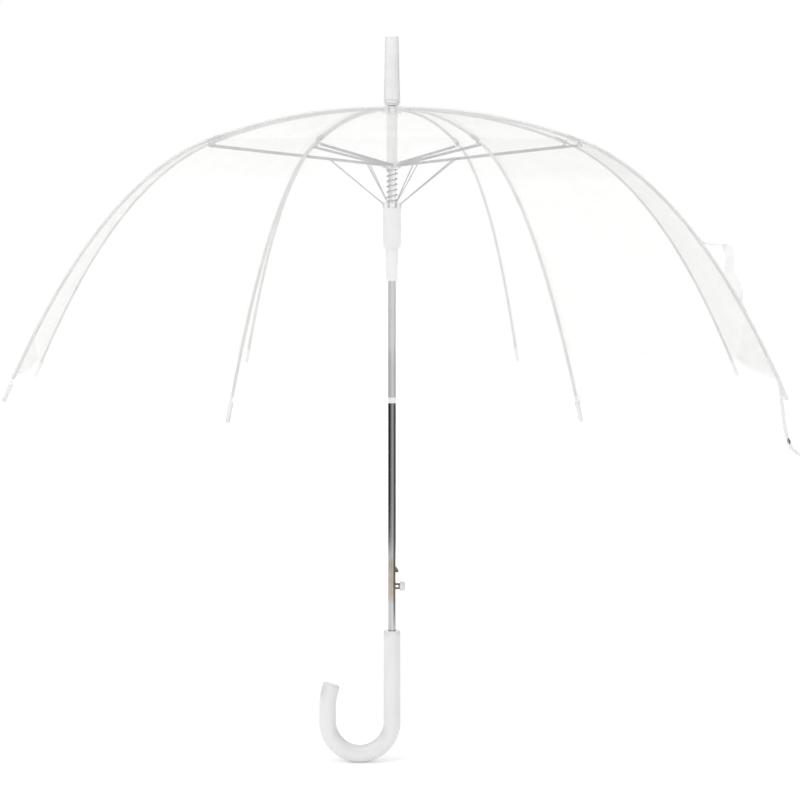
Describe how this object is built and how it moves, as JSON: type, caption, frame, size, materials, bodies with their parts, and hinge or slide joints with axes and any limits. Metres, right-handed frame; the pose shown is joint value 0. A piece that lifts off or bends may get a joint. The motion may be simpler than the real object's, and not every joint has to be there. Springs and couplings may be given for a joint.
{
  "type": "dome stick umbrella",
  "caption": "Clear dome stick umbrella with hook handle; ribs, stretchers and links fold around a sliding runner, with a push-button catch.",
  "frame": {"origin": "on the shaft axis at the middle of the straight grip", "axes": "+Z along the shaft towards the ferrule, +X towards the push button, hook towards -X"},
  "size_m": [0.8804, 0.8662, 0.838],
  "materials": {
    "shaft_steel": "polished",
    "handle_plastic": "gloss",
    "white_plastic": "semi gloss",
    "rib_plastic": "satin",
    "film": "clear vinyl film",
    "strap_film": "clear vinyl film",
    "stretcher_steel": "plated",
    "link_wire": "plated",
    "spring_steel": "dark",
    "catch_bronze": "bronze",
    "button_plastic": "gloss"
  },
  "bodies": {
    "stick": {"shaft": "shaft_steel", "handle": "handle_plastic", "ferrule": "white_plastic", "canopy_cap": "white_plastic", "crown": "white_plastic"},
    "hub": {"upper_hub": "white_plastic"},
    "runner": {"runner": "white_plastic", "spring": "spring_steel"},
    "catch": {"catch": "catch_bronze"},
    "button": {"button": "button_plastic"},
    "rib_inner_1": {"rib_inner_1": "rib_plastic"},
    "rib_outer_1": {"rib_outer_1": "rib_plastic"},
    "gore_upper_1": {"gore_upper_1": "film"},
    "gore_lower_1": {"gore_lower_1": "film"},
    "stretcher_1": {"stretcher_1": "stretcher_steel"},
    "link_1": {"link_1": "link_wire"},
    "rib_inner_2": {"rib_inner_2": "rib_plastic"},
    "rib_outer_2": {"rib_outer_2": "rib_plastic", "closing_strap": "strap_film", "strap_keeper": "strap_film"},
    "gore_upper_2": {"gore_upper_2": "film"},
    "gore_lower_2": {"gore_lower_2": "film"},
    "stretcher_2": {"stretcher_2": "stretcher_steel"},
    "link_2": {"link_2": "link_wire"},
    "rib_inner_3": {"rib_inner_3": "rib_plastic"},
    "rib_outer_3": {"rib_outer_3": "rib_plastic"},
    "gore_upper_3": {"gore_upper_3": "film"},
    "gore_lower_3": {"gore_lower_3": "film"},
    "stretcher_3": {"stretcher_3": "stretcher_steel"},
    "link_3": {"link_3": "link_wire"},
    "rib_inner_4": {"rib_inner_4": "rib_plastic"},
    "rib_outer_4": {"rib_outer_4": "rib_plastic"},
    "gore_upper_4": {"gore_upper_4": "film"},
    "gore_lower_4": {"gore_lower_4": "film"},
    "stretcher_4": {"stretcher_4": "stretcher_steel"},
    "link_4": {"link_4": "link_wire"},
    "rib_inner_5": {"rib_inner_5": "rib_plastic"},
    "rib_outer_5": {"rib_outer_5": "rib_plastic"},
    "gore_upper_5": {"gore_upper_5": "film"},
    "gore_lower_5": {"gore_lower_5": "film"},
    "stretcher_5": {"stretcher_5": "stretcher_steel"},
    "link_5": {"link_5": "link_wire"},
    "rib_inner_6": {"rib_inner_6": "rib_plastic"},
    "rib_outer_6": {"rib_outer_6": "rib_plastic"},
    "gore_upper_6": {"gore_upper_6": "film"},
    "gore_lower_6": {"gore_lower_6": "film"},
    "stretcher_6": {"stretcher_6": "stretcher_steel"},
    "link_6": {"link_6": "link_wire"},
    "rib_inner_7": {"rib_inner_7": "rib_plastic"},
    "rib_outer_7": {"rib_outer_7": "rib_plastic"},
    "gore_upper_7": {"gore_upper_7": "film"},
    "gore_lower_7": {"gore_lower_7": "film"},
    "stretcher_7": {"stretcher_7": "stretcher_steel"},
    "link_7": {"link_7": "link_wire"},
    "rib_inner_8": {"rib_inner_8": "rib_plastic"},
    "rib_outer_8": {"rib_outer_8": "rib_plastic"},
    "gore_upper_8": {"gore_upper_8": "film"},
    "gore_lower_8": {"gore_lower_8": "film"},
    "stretcher_8": {"stretcher_8": "stretcher_steel"},
    "link_8": {"link_8": "link_wire"}
  },
  "joints": [
    {"name": "runner_slide", "type": "slide", "parent": "stick", "child": "runner", "axis": [0, 0, -1], "range_m": [0, 0.3414], "stiffness_N_per_m": 150, "springref_m": -0.06, "deforming": ["spring"]},
    {"name": "hub_slide", "type": "slide", "parent": "stick", "child": "hub", "axis": [0, 0, -1], "range_m": [0, 0.3703]},
    {"name": "button_press", "type": "slide", "parent": "stick", "child": "button", "axis": [-1, 0, 0], "range_m": [0, 0.0026], "stiffness_N_per_m": 1200, "springref_m": -0.0008},
    {"name": "catch_press", "type": "hinge", "parent": "stick", "child": "catch", "pos_m": [0, 0, 0.042], "axis": [0, -1, 0], "range_deg": [0, 2.4], "stiffness_Nm_per_rad": 1.2, "springref_deg": -0.57},
    {"name": "rib_fold_1", "type": "hinge", "parent": "stick", "child": "rib_inner_1", "pos_m": [0.00361, -0.00803, 0.6555], "axis": [0.9121, 0.4099, 0], "range_deg": [0, 76.29]},
    {"name": "rib_bend_1", "type": "hinge", "parent": "rib_inner_1", "child": "rib_outer_1", "pos_m": [0.09182, -0.20431, 0.6185], "axis": [0.9121, 0.4099, 0], "range_deg": [-35.58, 0]},
    {"name": "gore_fold_1", "type": "hinge", "parent": "stick", "child": "gore_upper_1", "pos_m": [0.0064, -0.00604, 0.6555], "axis": [0.6858, 0.7278, 0], "range_deg": [0, 75.37], "deforming": ["gore_upper_1"]},
    {"name": "gore_bend_1", "type": "hinge", "parent": "gore_upper_1", "child": "gore_lower_1", "pos_m": [0.15061, -0.14193, 0.6185], "axis": [0.6858, 0.7278, 0], "range_deg": [-39.05, 0], "deforming": ["gore_lower_1"]},
    {"name": "stretcher_fold_1", "type": "hinge", "parent": "hub", "child": "stretcher_1", "pos_m": [0.00753, -0.00626, 0.592], "axis": [0.9121, 0.4099, 0], "range_deg": [-81.2, 0]},
    {"name": "link_fold_1", "type": "hinge", "parent": "runner", "child": "link_1", "pos_m": [0.00389, -0.00867, 0.547], "axis": [0.9121, 0.4099, 0], "range_deg": [-50.8, 0]},
    {"name": "rib_fold_2", "type": "hinge", "parent": "stick", "child": "rib_inner_2", "pos_m": [0.00823, -0.00313, 0.6555], "axis": [0.3551, 0.9348, 0], "range_deg": [0, 76.29]},
    {"name": "rib_bend_2", "type": "hinge", "parent": "rib_inner_2", "child": "rib_outer_2", "pos_m": [0.2094, -0.07954, 0.6185], "axis": [0.3551, 0.9348, 0], "range_deg": [-35.58, 0]},
    {"name": "gore_fold_2", "type": "hinge", "parent": "stick", "child": "gore_upper_2", "pos_m": [0.0088, 0.00026, 0.6555], "axis": [-0.0297, 0.9996, 0], "range_deg": [0, 75.37], "deforming": ["gore_upper_2"]},
    {"name": "gore_bend_2", "type": "hinge", "parent": "gore_upper_2", "child": "gore_lower_2", "pos_m": [0.20686, 0.00614, 0.6185], "axis": [-0.0297, 0.9996, 0], "range_deg": [-39.05, 0], "deforming": ["gore_lower_2"]},
    {"name": "stretcher_fold_2", "type": "hinge", "parent": "hub", "child": "stretcher_2", "pos_m": [0.00975, 0.00089, 0.592], "axis": [0.3551, 0.9348, 0], "range_deg": [-81.2, 0]},
    {"name": "link_fold_2", "type": "hinge", "parent": "runner", "child": "link_2", "pos_m": [0.00888, -0.00337, 0.547], "axis": [0.3551, 0.9348, 0], "range_deg": [-50.8, 0]},
    {"name": "rib_fold_3", "type": "hinge", "parent": "stick", "child": "rib_inner_3", "pos_m": [0.00803, 0.00361, 0.6555], "axis": [-0.4099, 0.9121, 0], "range_deg": [0, 76.29]},
    {"name": "rib_bend_3", "type": "hinge", "parent": "rib_inner_3", "child": "rib_outer_3", "pos_m": [0.20431, 0.09182, 0.6185], "axis": [-0.4099, 0.9121, 0], "range_deg": [-35.58, 0]},
    {"name": "gore_fold_3", "type": "hinge", "parent": "stick", "child": "gore_upper_3", "pos_m": [0.00604, 0.0064, 0.6555], "axis": [-0.7278, 0.6858, 0], "range_deg": [0, 75.37], "deforming": ["gore_upper_3"]},
    {"name": "gore_bend_3", "type": "hinge", "parent": "gore_upper_3", "child": "gore_lower_3", "pos_m": [0.14193, 0.15061, 0.6185], "axis": [-0.7278, 0.6858, 0], "range_deg": [-39.05, 0], "deforming": ["gore_lower_3"]},
    {"name": "stretcher_fold_3", "type": "hinge", "parent": "hub", "child": "stretcher_3", "pos_m": [0.00626, 0.00753, 0.592], "axis": [-0.4099, 0.9121, 0], "range_deg": [-81.2, 0]},
    {"name": "link_fold_3", "type": "hinge", "parent": "runner", "child": "link_3", "pos_m": [0.00867, 0.00389, 0.547], "axis": [-0.4099, 0.9121, 0], "range_deg": [-50.8, 0]},
    {"name": "rib_fold_4", "type": "hinge", "parent": "stick", "child": "rib_inner_4", "pos_m": [0.00313, 0.00823, 0.6555], "axis": [-0.9348, 0.3551, 0], "range_deg": [0, 76.29]},
    {"name": "rib_bend_4", "type": "hinge", "parent": "rib_inner_4", "child": "rib_outer_4", "pos_m": [0.07954, 0.2094, 0.6185], "axis": [-0.9348, 0.3551, 0], "range_deg": [-35.58, 0]},
    {"name": "gore_fold_4", "type": "hinge", "parent": "stick", "child": "gore_upper_4", "pos_m": [-0.00026, 0.0088, 0.6555], "axis": [-0.9996, -0.0297, 0], "range_deg": [0, 75.37], "deforming": ["gore_upper_4"]},
    {"name": "gore_bend_4", "type": "hinge", "parent": "gore_upper_4", "child": "gore_lower_4", "pos_m": [-0.00614, 0.20686, 0.6185], "axis": [-0.9996, -0.0297, 0], "range_deg": [-39.05, 0], "deforming": ["gore_lower_4"]},
    {"name": "stretcher_fold_4", "type": "hinge", "parent": "hub", "child": "stretcher_4", "pos_m": [-0.00089, 0.00975, 0.592], "axis": [-0.9348, 0.3551, 0], "range_deg": [-81.2, 0]},
    {"name": "link_fold_4", "type": "hinge", "parent": "runner", "child": "link_4", "pos_m": [0.00337, 0.00888, 0.547], "axis": [-0.9348, 0.3551, 0], "range_deg": [-50.8, 0]},
    {"name": "rib_fold_5", "type": "hinge", "parent": "stick", "child": "rib_inner_5", "pos_m": [-0.00361, 0.00803, 0.6555], "axis": [-0.9121, -0.4099, 0], "range_deg": [0, 76.29]},
    {"name": "rib_bend_5", "type": "hinge", "parent": "rib_inner_5", "child": "rib_outer_5", "pos_m": [-0.09182, 0.20431, 0.6185], "axis": [-0.9121, -0.4099, 0], "range_deg": [-35.58, 0]},
    {"name": "gore_fold_5", "type": "hinge", "parent": "stick", "child": "gore_upper_5", "pos_m": [-0.0064, 0.00604, 0.6555], "axis": [-0.6858, -0.7278, 0], "range_deg": [0, 75.37], "deforming": ["gore_upper_5"]},
    {"name": "gore_bend_5", "type": "hinge", "parent": "gore_upper_5", "child": "gore_lower_5", "pos_m": [-0.15061, 0.14193, 0.6185], "axis": [-0.6858, -0.7278, 0], "range_deg": [-39.05, 0], "deforming": ["gore_lower_5"]},
    {"name": "stretcher_fold_5", "type": "hinge", "parent": "hub", "child": "stretcher_5", "pos_m": [-0.00753, 0.00626, 0.592], "axis": [-0.9121, -0.4099, 0], "range_deg": [-81.2, 0]},
    {"name": "link_fold_5", "type": "hinge", "parent": "runner", "child": "link_5", "pos_m": [-0.00389, 0.00867, 0.547], "axis": [-0.9121, -0.4099, 0], "range_deg": [-50.8, 0]},
    {"name": "rib_fold_6", "type": "hinge", "parent": "stick", "child": "rib_inner_6", "pos_m": [-0.00823, 0.00313, 0.6555], "axis": [-0.3551, -0.9348, 0], "range_deg": [0, 76.29]},
    {"name": "rib_bend_6", "type": "hinge", "parent": "rib_inner_6", "child": "rib_outer_6", "pos_m": [-0.2094, 0.07954, 0.6185], "axis": [-0.3551, -0.9348, 0], "range_deg": [-35.58, 0]},
    {"name": "gore_fold_6", "type": "hinge", "parent": "stick", "child": "gore_upper_6", "pos_m": [-0.0088, -0.00026, 0.6555], "axis": [0.0297, -0.9996, 0], "range_deg": [0, 75.37], "deforming": ["gore_upper_6"]},
    {"name": "gore_bend_6", "type": "hinge", "parent": "gore_upper_6", "child": "gore_lower_6", "pos_m": [-0.20686, -0.00614, 0.6185], "axis": [0.0297, -0.9996, 0], "range_deg": [-39.05, 0], "deforming": ["gore_lower_6"]},
    {"name": "stretcher_fold_6", "type": "hinge", "parent": "hub", "child": "stretcher_6", "pos_m": [-0.00975, -0.00089, 0.592], "axis": [-0.3551, -0.9348, 0], "range_deg": [-81.2, 0]},
    {"name": "link_fold_6", "type": "hinge", "parent": "runner", "child": "link_6", "pos_m": [-0.00888, 0.00337, 0.547], "axis": [-0.3551, -0.9348, 0], "range_deg": [-50.8, 0]},
    {"name": "rib_fold_7", "type": "hinge", "parent": "stick", "child": "rib_inner_7", "pos_m": [-0.00803, -0.00361, 0.6555], "axis": [0.4099, -0.9121, 0], "range_deg": [0, 76.29]},
    {"name": "rib_bend_7", "type": "hinge", "parent": "rib_inner_7", "child": "rib_outer_7", "pos_m": [-0.20431, -0.09182, 0.6185], "axis": [0.4099, -0.9121, 0], "range_deg": [-35.58, 0]},
    {"name": "gore_fold_7", "type": "hinge", "parent": "stick", "child": "gore_upper_7", "pos_m": [-0.00604, -0.0064, 0.6555], "axis": [0.7278, -0.6858, 0], "range_deg": [0, 75.37], "deforming": ["gore_upper_7"]},
    {"name": "gore_bend_7", "type": "hinge", "parent": "gore_upper_7", "child": "gore_lower_7", "pos_m": [-0.14193, -0.15061, 0.6185], "axis": [0.7278, -0.6858, 0], "range_deg": [-39.05, 0], "deforming": ["gore_lower_7"]},
    {"name": "stretcher_fold_7", "type": "hinge", "parent": "hub", "child": "stretcher_7", "pos_m": [-0.00626, -0.00753, 0.592], "axis": [0.4099, -0.9121, 0], "range_deg": [-81.2, 0]},
    {"name": "link_fold_7", "type": "hinge", "parent": "runner", "child": "link_7", "pos_m": [-0.00867, -0.00389, 0.547], "axis": [0.4099, -0.9121, 0], "range_deg": [-50.8, 0]},
    {"name": "rib_fold_8", "type": "hinge", "parent": "stick", "child": "rib_inner_8", "pos_m": [-0.00313, -0.00823, 0.6555], "axis": [0.9348, -0.3551, 0], "range_deg": [0, 76.29]},
    {"name": "rib_bend_8", "type": "hinge", "parent": "rib_inner_8", "child": "rib_outer_8", "pos_m": [-0.07954, -0.2094, 0.6185], "axis": [0.9348, -0.3551, 0], "range_deg": [-35.58, 0]},
    {"name": "gore_fold_8", "type": "hinge", "parent": "stick", "child": "gore_upper_8", "pos_m": [0.00026, -0.0088, 0.6555], "axis": [0.9996, 0.0297, 0], "range_deg": [0, 75.37], "deforming": ["gore_upper_8"]},
    {"name": "gore_bend_8", "type": "hinge", "parent": "gore_upper_8", "child": "gore_lower_8", "pos_m": [0.00614, -0.20686, 0.6185], "axis": [0.9996, 0.0297, 0], "range_deg": [-39.05, 0], "deforming": ["gore_lower_8"]},
    {"name": "stretcher_fold_8", "type": "hinge", "parent": "hub", "child": "stretcher_8", "pos_m": [0.00089, -0.00975, 0.592], "axis": [0.9348, -0.3551, 0], "range_deg": [-81.2, 0]},
    {"name": "link_fold_8", "type": "hinge", "parent": "runner", "child": "link_8", "pos_m": [-0.00337, -0.00888, 0.547], "axis": [0.9348, -0.3551, 0], "range_deg": [-50.8, 0]}
  ],
  "couplings": [
    {"joint": "hub_slide", "follows": "runner_slide", "ratio": 1.0832},
    {"joint": "catch_press", "follows": "button_press", "rad_per_m": 15.708},
    {"joint": "rib_fold_1", "follows": "runner_slide", "rad_per_m": 3.8978},
    {"joint": "rib_bend_1", "follows": "runner_slide", "rad_per_m": -1.8162},
    {"joint": "gore_fold_1", "follows": "runner_slide", "rad_per_m": 3.8507},
    {"joint": "gore_bend_1", "follows": "runner_slide", "rad_per_m": -1.9938},
    {"joint": "stretcher_fold_1", "follows": "runner_slide", "rad_per_m": -4.1485},
    {"joint": "link_fold_1", "follows": "runner_slide", "rad_per_m": -2.5943},
    {"joint": "rib_fold_2", "follows": "runner_slide", "rad_per_m": 3.8978},
    {"joint": "rib_bend_2", "follows": "runner_slide", "rad_per_m": -1.8162},
    {"joint": "gore_fold_2", "follows": "runner_slide", "rad_per_m": 3.8507},
    {"joint": "gore_bend_2", "follows": "runner_slide", "rad_per_m": -1.9938},
    {"joint": "stretcher_fold_2", "follows": "runner_slide", "rad_per_m": -4.1485},
    {"joint": "link_fold_2", "follows": "runner_slide", "rad_per_m": -2.5943},
    {"joint": "rib_fold_3", "follows": "runner_slide", "rad_per_m": 3.8978},
    {"joint": "rib_bend_3", "follows": "runner_slide", "rad_per_m": -1.8162},
    {"joint": "gore_fold_3", "follows": "runner_slide", "rad_per_m": 3.8507},
    {"joint": "gore_bend_3", "follows": "runner_slide", "rad_per_m": -1.9938},
    {"joint": "stretcher_fold_3", "follows": "runner_slide", "rad_per_m": -4.1485},
    {"joint": "link_fold_3", "follows": "runner_slide", "rad_per_m": -2.5943},
    {"joint": "rib_fold_4", "follows": "runner_slide", "rad_per_m": 3.8978},
    {"joint": "rib_bend_4", "follows": "runner_slide", "rad_per_m": -1.8162},
    {"joint": "gore_fold_4", "follows": "runner_slide", "rad_per_m": 3.8507},
    {"joint": "gore_bend_4", "follows": "runner_slide", "rad_per_m": -1.9938},
    {"joint": "stretcher_fold_4", "follows": "runner_slide", "rad_per_m": -4.1485},
    {"joint": "link_fold_4", "follows": "runner_slide", "rad_per_m": -2.5943},
    {"joint": "rib_fold_5", "follows": "runner_slide", "rad_per_m": 3.8978},
    {"joint": "rib_bend_5", "follows": "runner_slide", "rad_per_m": -1.8162},
    {"joint": "gore_fold_5", "follows": "runner_slide", "rad_per_m": 3.8507},
    {"joint": "gore_bend_5", "follows": "runner_slide", "rad_per_m": -1.9938},
    {"joint": "stretcher_fold_5", "follows": "runner_slide", "rad_per_m": -4.1485},
    {"joint": "link_fold_5", "follows": "runner_slide", "rad_per_m": -2.5943},
    {"joint": "rib_fold_6", "follows": "runner_slide", "rad_per_m": 3.8978},
    {"joint": "rib_bend_6", "follows": "runner_slide", "rad_per_m": -1.8162},
    {"joint": "gore_fold_6", "follows": "runner_slide", "rad_per_m": 3.8507},
    {"joint": "gore_bend_6", "follows": "runner_slide", "rad_per_m": -1.9938},
    {"joint": "stretcher_fold_6", "follows": "runner_slide", "rad_per_m": -4.1485},
    {"joint": "link_fold_6", "follows": "runner_slide", "rad_per_m": -2.5943},
    {"joint": "rib_fold_7", "follows": "runner_slide", "rad_per_m": 3.8978},
    {"joint": "rib_bend_7", "follows": "runner_slide", "rad_per_m": -1.8162},
    {"joint": "gore_fold_7", "follows": "runner_slide", "rad_per_m": 3.8507},
    {"joint": "gore_bend_7", "follows": "runner_slide", "rad_per_m": -1.9938},
    {"joint": "stretcher_fold_7", "follows": "runner_slide", "rad_per_m": -4.1485},
    {"joint": "link_fold_7", "follows": "runner_slide", "rad_per_m": -2.5943},
    {"joint": "rib_fold_8", "follows": "runner_slide", "rad_per_m": 3.8978},
    {"joint": "rib_bend_8", "follows": "runner_slide", "rad_per_m": -1.8162},
    {"joint": "gore_fold_8", "follows": "runner_slide", "rad_per_m": 3.8507},
    {"joint": "gore_bend_8", "follows": "runner_slide", "rad_per_m": -1.9938},
    {"joint": "stretcher_fold_8", "follows": "runner_slide", "rad_per_m": -4.1485},
    {"joint": "link_fold_8", "follows": "runner_slide", "rad_per_m": -2.5943}
  ]
}
